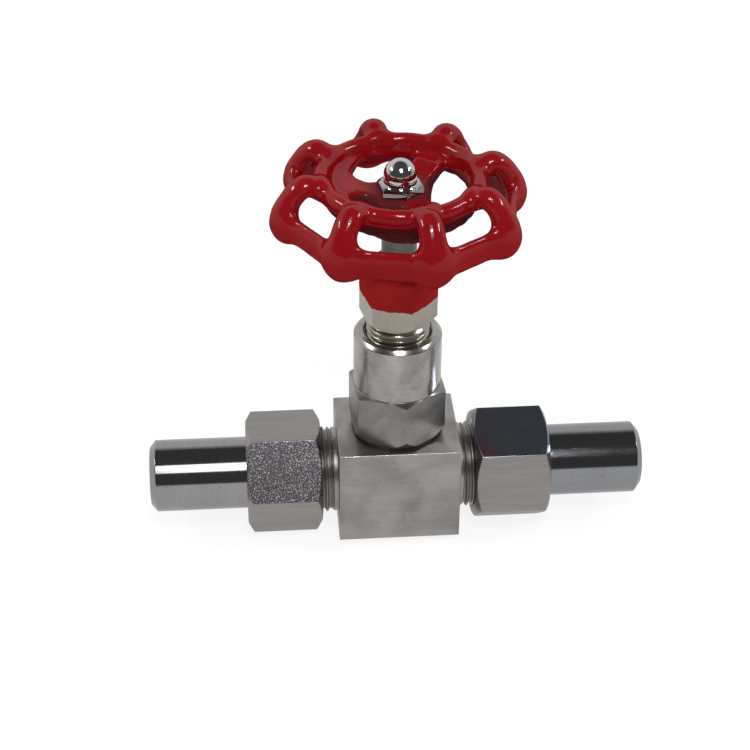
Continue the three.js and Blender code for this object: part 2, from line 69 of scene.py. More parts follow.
# Sizes of the stem, the domed nut and the unions; SQUARE_TURN is also the bar's
STEM, STEM_FOOT, STEM_TIP = 4.3, 2.9, 4.2
NEEDLE_BORE, NEEDLE_ROOF, CRIMP, CRIMP_TOP = 2.6, 6.0, 1.8, 3.5
LIFT_START, LIFT_END, LIFT_ROOT, LIFT_CREST = 6.1, 14.6, 4.25, 5.05
SQUARE_HALF, SQUARE_TOP, SQUARE_EDGE, SQUARE_CORNER, SQUARE_TURN = 3.0, 80.1, 0.1, 0.2, 45
STUD, STUD_START, STUD_TOP, STUD_EDGE = 2.5, 80.2, 86.2, 0.6
HUB_FOOT, HUB_TOP, ACORN_SEAT = 70.6, 80.5, 80.8
ACORN_DOME, ACORN_HEIGHT, ACORN_HEX = 4.0, 8.3, 2.4
ACORN_BORE, ACORN_DEPTH = 2.7, 6.3
NIPPLE_START, COLLAR_END, PIPE_END = 33.0, 35.0, 63.2
PIPE, BORE, COLLAR, BEVEL, BEVEL_RUN = 9.2, 6.0, 10.2, 1.8, 1.5
NUT_INNER, NUT_OUTER, NUT_BORE, NUT_MOUTH = 19.5, 38.6, 11.05, 11.9
NUT_LEAD, NUT_SLACK, NUT_EDGE = 0.9, 0.2, 0.5

# Where a piece drawn round its own upright axis goes: on the stem, or out along the run.
UPRIGHT = np.eye(3)
OUTWARD = {
    "left": np.array([[0, 0, -1], [0, 1, 0], [1, 0, 0]], float),
    "right": np.array([[0, 0, 1], [0, 1, 0], [-1, 0, 0]], float),
}


# Surfaces
def soft_normals(points, faces):
    """Normal of each point: the sum of its faces' normals, each as long as the face is large."""
    a, b, c, d = (points[faces[:, i]] for i in range(4))
    across = np.cross(c - a, d - b)
    total = np.zeros_like(points)
    for i in range(4):
        np.add.at(total, faces[:, i], across)
    return total / np.maximum(np.linalg.norm(total, axis=1), 1e-12)[:, None]


def new_object(name, data):
    """An object in the scene that holds the data."""
    made = bpy.data.objects.new(name, data)
    bpy.context.scene.collection.objects.link(made)
    return made


def mesh_piece(name, points, faces, normals=None):
    """A mesh object from points in millimetres and four-sided faces; a corner that is named twice in
    a row makes a triangle."""
    if normals is None:
        normals = soft_normals(points, faces)
    rows = faces.tolist()
    rows = [[v for i, v in enumerate(f) if v != f[i - 1]] for f in rows]
    used = np.unique(faces)
    renumber = np.zeros(len(points), int)
    renumber[used] = np.arange(len(used))
    mesh = bpy.data.meshes.new(name)
    mesh.from_pydata(
        (points[used] * MM).tolist(),
        [],
        [[int(renumber[v]) for v in f] for f in rows if len(f) > 2],
    )
    mesh.shade_smooth()
    mesh.normals_split_custom_set_from_vertices(normals[used].tolist())
    return new_object(name, mesh)


def around(name, rows, angles, place=UPRIGHT, ring=True):
    """A surface on two parameters, the angle round an axis and the step along a profile: each row
    gives a radius and a height, as a number or at every angle. With ring the last row meets the
    first; otherwise both end on the axis."""
    radius = np.array([np.broadcast_to(r, angles.shape) for r, _ in rows], float)
    height = np.array([np.broadcast_to(h, angles.shape) for _, h in rows], float)
    points = np.stack([radius * np.cos(angles), radius * np.sin(angles), height], -1)
    m, n = radius.shape
    number = np.arange(m * n).reshape(m, n)
    if not ring:
        number[0, :], number[-1, :] = number[0, 0], number[-1, 0]
    after = np.roll(number, -1, axis=1)
    if ring:
        above, above_after = np.roll(number, -1, axis=0), np.roll(after, -1, axis=0)
        quads = np.stack([number, after, above_after, above], -1)
    else:
        quads = np.stack([number[:-1], after[:-1], after[1:], number[1:]], -1)
    points = points.reshape(-1, 3) @ place.T
    points[:, 2] += RUN
    return mesh_piece(name, points, quads.reshape(-1, 4))


def even(count):
    """Equal steps round a circle."""
    return np.arange(count) / count * TAU


def flat_sided(sides, inradius, turn, soft, steps=7, flat=9):
    """Angles round a regular polygon with softened corners, and its radius at each. A flat's radius
    is inradius / cos(angle from its middle); a corner is an arc of radius soft."""
    half = np.pi / sides
    touch = np.arctan((inradius - soft) * np.tan(half) / inradius)
    share = np.sin(np.linspace(-1, 1, flat) * np.pi / 2)
    arc = np.linspace(touch, 2 * half - touch, steps + 2)[1:-1]
    local = np.concatenate([share * touch, arc])
    starts = 2 * half * np.arange(sides)[:, None] + half
    angles = (local[None, :] + starts).ravel() + math.radians(turn)
    return angles, polygon(angles, sides, inradius, turn, soft)


def polygon(angles, sides, inradius, turn, soft):
    """Radius of a softened regular polygon at any angle; one corner lies at turn."""
    half = np.pi / sides
    from_corner = (angles - math.radians(turn) + half) % (2 * half) - half
    from_flat = half - np.abs(from_corner)
    touch = np.arctan((inradius - soft) * np.tan(half) / inradius)
    centre = (inradius - soft) / np.cos(half)
    arc = centre * np.cos(from_corner) + np.sqrt(
        np.maximum(soft**2 - (centre * np.sin(from_corner)) ** 2, 0)
    )
    return np.where(from_flat <= touch, inradius / np.cos(from_flat), arc)


def eased(corners, soft=0.12, closed=True):
    """A profile with each corner cut back by a short slope of length soft, or by two fifths of its
    shorter side where that is less. Corners are pairs of radius and height, each a number or an
    array over the angles."""
    shape = np.broadcast_shapes(*(np.shape(v) for pair in corners for v in pair))
    way = [np.stack([np.broadcast_to(v, shape) for v in pair]).astype(float) for pair in corners]
    rows = []
    for i, here in enumerate(way):
        if not closed and i in (0, len(way) - 1):
            rows.append(here)
            continue
        for other in (way[i - 1], way[(i + 1) % len(way)]):
            step = other - here
            length = np.maximum(np.sqrt((step**2).sum(0)), 1e-9)
            rows.append(here + step * np.minimum(soft / length, 0.4))
    return [(row[0], row[1]) for row in rows]


def hexagon_side(radius, low, high, low_face, low_drop, high_face, high_drop, across):
    """Corners of a chamfered hexagon's side at every angle: each chamfer is a cone, and it meets the
    flats in curves, at the height where the cone's radius is the hexagon's."""
    corner = across / math.sqrt(3)
    step, least = 0.12, 0.06
    low_edge = np.minimum(low_face, radius - step)
    high_edge = np.minimum(high_face, radius - step)
    low_rise = np.maximum(low_drop * (radius - low_face) / (corner - low_face), least)
    high_rise = np.maximum(high_drop * (radius - high_face) / (corner - high_face), least)
    return [(low_edge, low), (radius, low + low_rise), (radius, high - high_rise), (high_edge, high)]


def thread_rows(angles, start, end, root, crest, per_turn=10):
    """A screw thread: at each angle the radius rises and falls with height minus the angle's share
    of one pitch. It fades into a cone at both ends."""
    flat, flank = 0.14, 0.72
    rows = []
    for height in np.linspace(start, end, int(abs(end - start) / PITCH * per_turn)):
        phase = (height / PITCH - angles / TAU) % 1
        wave = np.clip((np.abs(2 * phase - 1) - flat) / flank, 0, 1)
        wave = wave * wave * (3 - 2 * wave)
        limit = min(root + abs(height - start), root + abs(height - end))
        rows.append((np.minimum(root + (crest - root) * wave, limit), height))
    return rows


def cut(piece, *cutters):
    """Takes the cutters' volumes out of a piece, then works its normals out again by face size."""
    for cutter in cutters:
        step = piece.modifiers.new("cut", "BOOLEAN")
        step.operation, step.solver, step.object = "DIFFERENCE", "EXACT", cutter
    bpy.context.view_layer.update()
    made = bpy.data.meshes.new_from_object(piece.evaluated_get(bpy.context.evaluated_depsgraph_get()))
    piece.modifiers.clear()
    piece.data = made
    made.shade_smooth()
    normal = np.zeros(len(made.polygons) * 3)
    made.polygons.foreach_get("normal", normal)
    area = np.zeros(len(made.polygons))
    made.polygons.foreach_get("area", area)
    count = np.zeros(len(made.polygons), int)
    made.polygons.foreach_get("loop_total", count)
    corner = np.zeros(len(made.loops), int)
    made.loops.foreach_get("vertex_index", corner)
    summed = np.zeros((len(made.vertices), 3))
    np.add.at(summed, corner, np.repeat(normal.reshape(-1, 3) * area[:, None], count, axis=0))
    summed /= np.maximum(np.linalg.norm(summed, axis=1), 1e-12)[:, None]
    made.normals_split_custom_set_from_vertices(summed.tolist())
    for cutter in cutters:
        bpy.data.objects.remove(cutter)
    return piece


# Node helpers
def tree_of(name):
    """A new material, its node tree and its shader."""
    finish = bpy.data.materials.new(name)
    finish.use_nodes = True
    return finish, finish.node_tree, finish.node_tree.nodes["Principled BSDF"]


def feed(node, socket, value):
    """Links a value to one of a node's inputs, or sets the input to it."""
    if isinstance(value, bpy.types.NodeSocket):
        node.id_data.links.new(value, node.inputs[socket])
    else:
        node.inputs[socket].default_value = value


def add(tree, kind, links=(), **settings):
    """A node with settings on it and its inputs either linked or set."""
    node = tree.nodes.new(kind)
    for key, value in settings.items():
        setattr(node, key, value)
    for socket, value in dict(links).items():
        feed(node, socket, value)
    return node


def mixed(tree, factor, a, b):
    """A colour between two, by a factor."""
    a, b = ((*c, 1) if isinstance(c, tuple) else c for c in (a, b))
    return add(tree, "ShaderNodeMix", {0: factor, 6: a, 7: b}, data_type="RGBA").outputs[2]


def maths(tree, operation, a, b=0.0):
    """One sum on two values."""
    return add(tree, "ShaderNodeMath", {0: a, 1: b}, operation=operation).outputs[0]


def times(tree, a, b):
    """a x b."""
    return maths(tree, "MULTIPLY", a, b)


def plus(tree, a, b):
    """a + b."""
    return maths(tree, "ADD", a, b)


def minus(tree, a, b):
    """a - b."""
    return maths(tree, "SUBTRACT", a, b)


def spread(tree, value, low, high, to_low=0.0, to_high=1.0):
    """A value carried from one range to another, without going past its ends."""
    return add(
        tree,
        "ShaderNodeMapRange",
        {"Value": value, "From Min": low, "From Max": high, "To Min": to_low, "To Max": to_high},
    ).outputs["Result"]


def scaled(tree, scale):
    """Object coordinates, stretched."""
    place = add(tree, "ShaderNodeTexCoord").outputs["Object"]
    return add(tree, "ShaderNodeMapping", {"Vector": place, "Scale": scale}).outputs[0]


def plain(tree):
    """Object coordinates as they are."""
    return scaled(tree, (1, 1, 1))


def parts_of(tree, output="Object"):
    """The three parts of a texture coordinate."""
    place = add(tree, "ShaderNodeTexCoord").outputs[output]
    return add(tree, "ShaderNodeSeparateXYZ", {"Vector": place}).outputs


def noise(tree, vector, scale, detail, **values):
    """Noise on a vector, as a value round one half."""
    links = {"Vector": vector, "Scale": scale, "Detail": detail, **values}
    return add(tree, "ShaderNodeTexNoise", links).outputs[0]


def lessened(tree, value, by, share):
    """A value taken down by a share of another: value x (1 - by x share)."""
    left = minus(tree, 1.0, times(tree, by, share))
    return times(tree, value, left)


def group(name, sockets_in, sockets_out):
    """An empty shader group with float or vector inputs and float outputs."""
    tree = bpy.data.node_groups.new(name, "ShaderNodeTree")
    for label, kind, value in sockets_in:
        socket = tree.interface.new_socket(label, in_out="INPUT", socket_type=kind)
        if value is not None:
            socket.default_value = value
    for label in sockets_out:
        tree.interface.new_socket(label, in_out="OUTPUT", socket_type="NodeSocketFloat")
    return tree, tree.nodes.new("NodeGroupInput"), tree.nodes.new("NodeGroupOutput")


def placed(tree, kind, vector, **values):
    """A group node with its vector linked and its values set."""
    node = tree.nodes.new("ShaderNodeGroup")
    node.node_tree = kind
    feed(node, "Vector", vector)
    for label, value in values.items():
        feed(node, label.replace("_", " "), value)
    return node


# Effects that several finishes share
def tool_marks():
    """Fine parallel marks: noise stretched by the vector that is fed in, coarse and fine together."""
    tree, ins, outs = group(
        "tool marks",
        [("Vector", "NodeSocketVector", None), ("Scale", "NodeSocketFloat", 1.0)],
        ["Marks", "Fine"],
    )
    coarse = noise(tree, ins.outputs[0], ins.outputs[1], 3.0)
    fine = noise(tree, ins.outputs[0], times(tree, ins.outputs[1], 4.3), 2.0)
    both = plus(tree, times(tree, coarse, 0.6), times(tree, fine, 0.4))
    feed(outs, "Marks", spread(tree, both, 0.3, 0.7))
    feed(outs, "Fine", fine)
    return tree


def smudges():
    """Soft stains of slow noise, darker patches of grime with torn edges, and a sparse scatter of
    small dark pits."""
    tree, ins, outs = group(
        "smudges",
        [
            ("Vector", "NodeSocketVector", None),
            ("Scale", "NodeSocketFloat", 90.0),
            ("Pit scale", "NodeSocketFloat", 900.0),
            ("Pit share", "NodeSocketFloat", 0.1),
        ],
        ["Stain", "Pits", "Grime"],
    )
    slow = noise(tree, ins.outputs[0], ins.outputs[1], 4.0, Distortion=0.6)
    feed(outs, "Stain", spread(tree, slow, 0.35, 0.68))
    cells = add(tree, "ShaderNodeTexVoronoi", {"Vector": ins.outputs[0], "Scale": ins.outputs[2]})
    near = maths(tree, "LESS_THAN", cells.outputs["Distance"], 0.22)
    chosen = add(tree, "ShaderNodeSeparateColor", {"Color": cells.outputs["Color"]})
    rare = maths(tree, "LESS_THAN", chosen.outputs[0], ins.outputs[3])
    feed(outs, "Pits", times(tree, near, rare))
    grimy = noise(tree, ins.outputs[0], 150.0, 5.0, Distortion=0.4)
    feed(outs, "Grime", spread(tree, grimy, 0.50, 0.68))
    return tree


MARKS = tool_marks()
STAINS = smudges()


def bumped(tree, shader, height, depth):
    """Feeds a height to the shader's normal; depth is in metres."""
    bump = add(tree, "ShaderNodeBump", {"Height": height, "Strength": 1.0, "Distance": depth})
    feed(shader, "Normal", bump.outputs[0])


def bar_edge(tree):
    """Whether a point lies on one of the bar's long broken edges: far out both across the bar and up
    or down it."""
    parts = parts_of(tree)
    across = maths(tree, "ABSOLUTE", parts[1])
    up = maths(tree, "ABSOLUTE", minus(tree, parts[2], RUN * MM))
    nearer = maths(tree, "MINIMUM", across, up)
    start, end = BLOCK_HALF - 1.2 * BLOCK_EDGE, BLOCK_HALF - 0.9 * BLOCK_EDGE
    return spread(tree, nearer, start * MM, end * MM)


def worked_steel(
    name,
    dark,
    light,
    rough,
    stretch,
    depth=6e-6,
    stain=0.25,
    pit_share=0.06,
    anisotropic=0.0,
    brighter_above=None,
    lifts=(0.84, 1.2),
    rougher_below=0.0,
    worn_edges=False,
    grime=0.0,
):
    """Machined steel: colour and roughness follow tool marks, stains, pits and grime. It may be
    brighter and smoother above a height, and worn bright along the bar's edges."""
    finish, tree, shader = tree_of(name)
    lines = placed(tree, MARKS, scaled(tree, stretch), Scale=1.0)
    flat = placed(tree, STAINS, plain(tree), Scale=95.0, Pit_scale=1100.0, Pit_share=pit_share)
    marks, fine = lines.outputs["Marks"], lines.outputs["Fine"]
    stains, pits = flat.outputs["Stain"], flat.outputs["Pits"]
    colour = mixed(tree, marks, dark, light)
    shade = minus(tree, 1.0, times(tree, stains, stain))
    roughness = spread(tree, plus(tree, marks, stains), 0.0, 2.0, *rough)
    if brighter_above is not None:
        height = parts_of(tree)[2]
        fade = 0.3
        change = ((brighter_above - fade) * MM, (brighter_above + fade) * MM)
        below = spread(tree, height, *change, rougher_below, 0.0)
        roughness = plus(tree, roughness, below)
        shade = times(tree, shade, spread(tree, height, *change, *lifts))
    shade = lessened(tree, shade, pits, 0.35)
    if grime:
        dirt = times(tree, flat.outputs["Grime"], grime)
        shade = lessened(tree, shade, dirt, 1.0)
        roughness = plus(tree, roughness, times(tree, dirt, 0.3))
    both = {0: 1.0, 6: colour, 7: shade}
    toned = add(tree, "ShaderNodeMix", both, data_type="RGBA", blend_type="MULTIPLY")
    feed(shader, "Base Color", toned.outputs[2])
    if worn_edges:
        worn = times(tree, bar_edge(tree), spread(tree, stains, 0.15, 0.6, 0.35, 1.0))
        roughness = times(tree, roughness, spread(tree, worn, 0.0, 1.0, 1.0, 0.45))
    feed(shader, "Roughness", roughness)
    feed(shader, "Metallic", 1.0)
    if anisotropic:
        feed(shader, "Anisotropic", anisotropic)
        way = add(tree, "ShaderNodeTangent", direction_type="RADIAL", axis="Z")
        feed(shader, "Tangent", way.outputs[0])
    bumped(tree, shader, minus(tree, fine, times(tree, pits, 0.8)), depth)
    return finish


def flat_of(tree, side):
    """Which flat of a union nut a point is on: a count from 0 to 5 by its angle round the run, in the
    nut's own turn."""
    parts = parts_of(tree)
    height = minus(tree, parts[2], RUN * MM)
    if side == "right":
        height = times(tree, height, -1.0)
    angle = maths(tree, "ARCTAN2", parts[1], height)
    turned = minus(tree, angle, math.radians(NUT_TURN[side]))
    wrapped = maths(tree, "FLOORED_MODULO", turned, TAU)
    return maths(tree, "FLOOR", maths(tree, "DIVIDE", wrapped, TAU / 6))


def nut_steel(side, special, dull):
    """Union nut steel. Most flats are satin; one is blasted until it sparkles, or polished dark."""
    finish, tree, shader = tree_of(f"union nut steel {side}")
    lines = placed(tree, MARKS, scaled(tree, (60, 900, 900)), Scale=1.0)
    flat = placed(tree, STAINS, plain(tree), Scale=120.0, Pit_scale=900.0, Pit_share=0.05)
    grain = noise(tree, plain(tree), 3200.0, 2.0)
    here = maths(tree, "COMPARE", flat_of(tree, side), float(special))
    feed(here.node, 2, 0.3)
    satin = mixed(tree, lines.outputs["Marks"], (0.315, 0.30, 0.287), (0.405, 0.388, 0.368))
    if dull:
        sparkle = spread(tree, grain, 0.52, 0.74)
        other = mixed(tree, sparkle, (0.125, 0.115, 0.127), (0.95, 0.93, 0.95))
        rough = spread(tree, here, 0.0, 1.0, 0.36, 0.34)
        height = times(tree, grain, spread(tree, here, 0.0, 1.0, 0.02, 1.0))
        depth = 3.5e-5
    else:
        other = mixed(tree, flat.outputs["Stain"], (0.40, 0.46, 0.55), (0.35, 0.40, 0.49))
        rough = spread(tree, here, 0.0, 1.0, 0.34, 0.17)
        pits = times(tree, flat.outputs["Pits"], 2.0)
        height = times(tree, minus(tree, grain, pits), 0.06)
        depth = 5e-5
    feed(shader, "Base Color", mixed(tree, here, satin, other))
    feed(shader, "Roughness", rough)
    feed(shader, "Metallic", 1.0)
    bumped(tree, shader, height, depth)
    return finish


def bare_and_shaded_under_ring(tree):
    """How much a point lies on the inner side of the wheel's ring and below it: rough bare casting where
    the brush hardly reached, and painted shade, since its dark colour also stands for the ring's shadow."""
    parts = parts_of(tree)
    across = maths(tree, "POWER", parts[0], 2.0)
    deep = maths(tree, "POWER", parts[1], 2.0)
    radius = maths(tree, "SQRT", plus(tree, across, deep))
    outer, inner, top, fade, low, lowest = 19.4, 18.9, 11.4, 1.2, 2, 3
    level, foot = (RUN + HUB_FOOT + top) * MM, (RUN + HUB_FOOT) * MM
    under = spread(tree, parts[2], level, level - fade * MM)
    under = times(tree, under, spread(tree, parts[2], foot - lowest * MM, foot - low * MM))
    return times(tree, under, spread(tree, radius, outer * MM, inner * MM))


def red_enamel(name, deep, bright, rough, coat):
    """Brushed-on gloss enamel over a casting: slow changes of colour, a soft skin and a clear top
    that thins towards the outline and on faces that don't look up."""
    finish, tree, shader = tree_of(name)
    flat = placed(tree, STAINS, plain(tree), Scale=60.0, Pit_scale=420.0, Pit_share=0.05)
    skin_grain = noise(tree, plain(tree), 330.0, 2.0)
    sandy = noise(tree, plain(tree), 1300.0, 3.0)
    # Painted shade: inside and below the ring the enamel turns dark, partly as bare rough casting.
    bare_and_shaded = bare_and_shaded_under_ring(tree)
    paint = mixed(tree, flat.outputs["Stain"], deep, bright)
    # Dark colour of that region: bare casting and painted shade under the ring together.
    scale = mixed(tree, sandy, (0.05, 0.012, 0.014), (0.16, 0.02, 0.025))
    feed(shader, "Base Color", mixed(tree, bare_and_shaded, paint, scale))
    feed(shader, "Roughness", spread(tree, flat.outputs["Stain"], 0, 1, *rough))
    feed(shader, "Specular IOR Level", 0.0)
    turned_away = add(tree, "ShaderNodeLayerWeight", {"Blend": 0.3}).outputs["Facing"]
    top = spread(tree, turned_away, 0.15, 0.75, coat, 0.04)
    faces_up = parts_of(tree, "Normal")[2]
    top = times(tree, top, spread(tree, faces_up, 0.05, 0.5, 0.25, 1.0))
    top = times(tree, top, spread(tree, bare_and_shaded, 0.0, 1.0, 1.0, 0.1))
    feed(shader, "Coat Weight", top)
    feed(shader, "Coat Roughness", 0.12)
    pitted = plus(tree, skin_grain, times(tree, flat.outputs["Pits"], 0.12))
    rough_skin = times(tree, sandy, times(tree, bare_and_shaded, 6.0))
    bumped(tree, shader, plus(tree, pitted, rough_skin), 1.6e-5)
    return finish


def plain_soft(name, dark, light, metallic, rough, scale):
    """A plain pressed or turned filling: grainy colour and a fine skin."""
    finish, tree, shader = tree_of(name)
    grain = noise(tree, plain(tree), scale, 5.0)
    feed(shader, "Base Color", mixed(tree, grain, dark, light))
    feed(shader, "Roughness", spread(tree, grain, 0.3, 0.7, rough - 0.08, rough + 0.08))
    feed(shader, "Metallic", metallic)
    bumped(tree, shader, grain, 4e-5)
    return finish


# Finishes: dark and light colour, roughness, and how the tool marks are stretched
BAR_STEEL = worked_steel(
    "milled bar steel", (0.425, 0.398, 0.38), (0.50, 0.468, 0.447), (0.28, 0.42), (70, 800, 800),
    depth=8e-6, stain=0.28, worn_edges=True, grime=0.07,
)
BONNET_STEEL = worked_steel(
    "turned bonnet steel", (0.40, 0.38, 0.367), (0.46, 0.437, 0.42), (0.14, 0.24), (60, 60, 1500),
    depth=1e-6, stain=0.40, anisotropic=0.4,
    brighter_above=RUN + BARREL_START, rougher_below=0.12, grime=0.13,
)
STUB_STEEL = {
    "left": worked_steel(
        "polished stub steel left", (0.36, 0.345, 0.35), (0.40, 0.385, 0.385), (0.06, 0.13),
        (1500, 60, 60), depth=2e-6, stain=0.08, pit_share=0.1,
    ),
    "right": worked_steel(
        "grainy stub steel right", (0.31, 0.32, 0.335), (0.35, 0.36, 0.375), (0.06, 0.13),
        (1800, 1700, 1700), depth=5e-6, stain=0.08, pit_share=0.2,
    ),
}
# The stem's colours are darkened: painted shade that the wheel casts on it.
SHADED_STEM_STEEL = worked_steel(
    "ground stem steel", (0.12, 0.115, 0.10), (0.18, 0.17, 0.145), (0.28, 0.42), (80, 80, 1800), depth=5e-6
)
PLAIN_STEEL = worked_steel(
    "plain turned steel", (0.38, 0.37, 0.36), (0.48, 0.47, 0.46), (0.3, 0.45), (80, 80, 1500)
)
NICKEL = worked_steel(
    "warm nickel plate", (0.40, 0.365, 0.315), (0.47, 0.43, 0.375), (0.16, 0.26), (400, 400, 120),
    depth=3e-6, stain=0.1,
)
# The hexagon is painted darker than the dome (0.45 against 1.05): painted reflection of the dark red wheel
# in its flats.
CHROME = worked_steel(
    "bright chrome plate", (0.60, 0.59, 0.59), (0.66, 0.65, 0.65), (0.03, 0.07), (200, 200, 200),
    depth=1e-6, stain=0.05, pit_share=0.0, brighter_above=RUN + ACORN_SEAT + ACORN_HEX, lifts=(0.45, 1.05),
)
NUT_STEEL = {"left": nut_steel("left", 4, True), "right": nut_steel("right", 2, False)}
ENAMEL = red_enamel("red casting enamel", (0.225, 0.003, 0.006), (0.28, 0.004, 0.008), (0.30, 0.42), 0.85)
COAT = red_enamel("red brushed overcoat", (0.29, 0.013, 0.014), (0.35, 0.016, 0.018), (0.42, 0.52), 0.07)
PACKING = plain_soft("pressed white packing", (0.78, 0.77, 0.73), (0.88, 0.87, 0.84), 0.0, 0.6, 900.0)
# A gasket coloured near black, which also paints the shade in the thin gap under the bonnet.
SHADED_GASKET = plain_soft("gasket painted dark as gap shade", (0.02, 0.02, 0.02), (0.05, 0.05, 0.05), 0.0, 0.75, 900.0)
COPPER = plain_soft("soft copper", (0.55, 0.28, 0.17), (0.72, 0.42, 0.28), 1.0, 0.42, 700.0)


def finished(piece, finish):
    """Gives a piece or a node its one finish."""
    piece.data.materials.clear()
    piece.data.materials.append(finish)
    return piece


def fitted(piece, finish, body, slot, *nodes):
    """Finishes a new piece, lets it ride on its body and hides the nodes that it stands for."""
    finished(piece, finish)
    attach(piece, body)
    if nodes:
        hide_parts(*nodes)
    return piece


# Body
def body():
    """Square bar with a threaded neck at each end: one surface along the run, cut for the bonnet,
    the seat and the two drilled passages."""
    sides = flat_sided(4, BLOCK_HALF, SQUARE_TURN, BLOCK_EDGE, 5, 25)[0]
    angles = np.unique(np.concatenate([sides % TAU, even(96) + 0.01]))
    square = polygon(angles, 4, BLOCK_HALF, SQUARE_TURN, BLOCK_EDGE)
    relief = BLOCK_END + NECK_RELIEF
    collar = NECK_CREST - NECK_EASE
    lip, edge = NECK_LIP, BLOCK_EDGE

    def half(sign):
        rows = [
            (0, NECK_END),
            (PASSAGE / 2, NECK_END),
            (NECK_ROOT - NECK_EASE, NECK_END),
            *thread_rows(sign * angles, NECK_END - lip / 2, relief, NECK_ROOT, NECK_CREST),
            (collar - lip, relief - lip),
            (collar, relief - 3 * lip),
            (collar, BLOCK_END + lip),
            (collar + lip, BLOCK_END),
            (square - edge - lip, BLOCK_END),
            (square - edge, BLOCK_END),
            (square - edge * 0.3, BLOCK_END - edge * 0.3),
            (square, BLOCK_END - edge),
            (square, BLOCK_END - edge - lip),
        ]
        return [(radius, sign * height) for radius, height in rows]

    block = around("body", half(-1) + half(1)[::-1], angles, OUTWARD["right"], ring=False)
    well = SEAT - WELL
    profile = [
        (0, well),
        (WELL_BORE, well),
        (WELL_BORE, SEAT - SEAT_DEPTH),
        (SEAT_MOUTH, SEAT),
        (CHAMBER, SEAT),
        (CHAMBER, SOCKET_FLOOR),
        (SOCKET, SOCKET_FLOOR),
        (SOCKET, SOCKET_TOP - SOCKET_EDGE),
        (SOCKET + 2 * SOCKET_EDGE, SOCKET_TOP + SOCKET_EDGE),
        (0, SOCKET_TOP + SOCKET_EDGE),
    ]
    socket = around("socket", eased(profile, 0.05, closed=False), even(72), ring=False)
    end = NECK_END + DRILL_PAST
    inlet = rod("inlet", (-end, 0, 0), (0, 0, well + PASSAGE), PASSAGE)
    outlet = rod("outlet", (end, 0, 0), (CHAMBER / 2, 0, SEAT + PASSAGE), PASSAGE)
    return cut(block, socket, inlet, outlet)


def rod(name, start, end, radius, count=36):
    """A round rod between two points: circles carried along the straight line between them."""
    start, end = np.array(start, float), np.array(end, float)
    along = (end - start) / np.linalg.norm(end - start)
    side = np.array([0, 1.0, 0])
    across = np.cross(along, side)
    angles = even(count)
    circle = np.cos(angles)[:, None] * side + np.sin(angles)[:, None] * across
    rows = [(start, 0), (start, radius), (end, radius), (end, 0)]
    points = np.array([middle + reach * circle for middle, reach in rows]).reshape(-1, 3)
    number = np.arange(4 * count).reshape(4, count)
    number[0, :], number[3, :] = number[0, 0], number[3, 0]
    after = np.roll(number, -1, axis=1)
    quads = np.stack([number[:-1], number[1:], after[1:], after[:-1]], -1).reshape(-1, 4)
    points[:, 2] += RUN
    return mesh_piece(name, points, quads)


fitted(body(), BAR_STEEL, "valve_body", "bar_steel", "body_block")


# Bonnet, gland nut and its overcoat
def bonnet():
    """Hexagon under a polished barrel; the chamfer between them follows the flats. Bored for the
    packing and the gland."""
    angles, radius = flat_sided(6, BONNET_AF / 2, BONNET_TURN, 0.25, 7, 21)
    side = hexagon_side(radius, BONNET_SEAT, BARREL_START, *BONNET_CHAMFERS, BONNET_AF)
    corners = [
        (STEM_BORE, BONNET_BASE),
        (BONNET_SPIGOT, BONNET_BASE),
        (BONNET_SPIGOT, BONNET_SEAT),
        *side[:3],
        (BARREL, BARREL_START),
        (BARREL, BONNET_TOP - BARREL_DROP),
        (BARREL - BARREL_EDGE, BONNET_TOP),
        (THROAT_BORE + THROAT_EDGE, BONNET_TOP),
        (THROAT_BORE, BONNET_TOP - THROAT_EDGE),
        (THROAT_BORE, THROAT_FLOOR),
        (BOX_BORE, THROAT_FLOOR),
        (BOX_BORE, BOX_FLOOR),
        (STEM_BORE, BOX_FLOOR),
    ]
    return around("bonnet", eased(corners, 0.1), angles)


def gland_nut():
    """Hexagon over a threaded foot, bored for the stem."""
    angles, radius = flat_sided(6, GLAND_AF / 2, GLAND_TURN, 0.5, 9, 17)
    side = hexagon_side(radius, GLAND_HEX, GLAND_TOP, *GLAND_CHAMFERS, GLAND_AF)
    neck = GLAND_HEX - GLAND_RELIEF
    foot = [(GLAND_HOLE, GLAND_TOP), (GLAND_HOLE, GLAND_FOOT), (GLAND_ROOT, GLAND_FOOT)]
    head = [(GLAND_ROOT, neck), (GLAND_ROOT, GLAND_HEX), *side, (GLAND_HOLE, GLAND_TOP)]
    rows = eased(foot, 0.1)[1:-1]
    rows += thread_rows(angles, GLAND_FOOT + 0.1, neck, GLAND_ROOT, GLAND_CREST, 12)
    rows += eased(head, 0.1)[1:-1]
    return around("gland_nut", rows, angles)


# The overcoat: how thick it stands, how round its corners are, and its ragged lower line, which
# dips behind and has waves of a height, a count round the nut and a start
COAT_THICK, COAT_CORNER, COAT_LINE, COAT_DIP = 0.3, 3.0, 52.25, 0.8
COAT_WAVES = [(0.10, 5, 0.6), (0.09, 11, 2.0), (0.07, 23, 0.0), (0.05, 41, 1.0)]


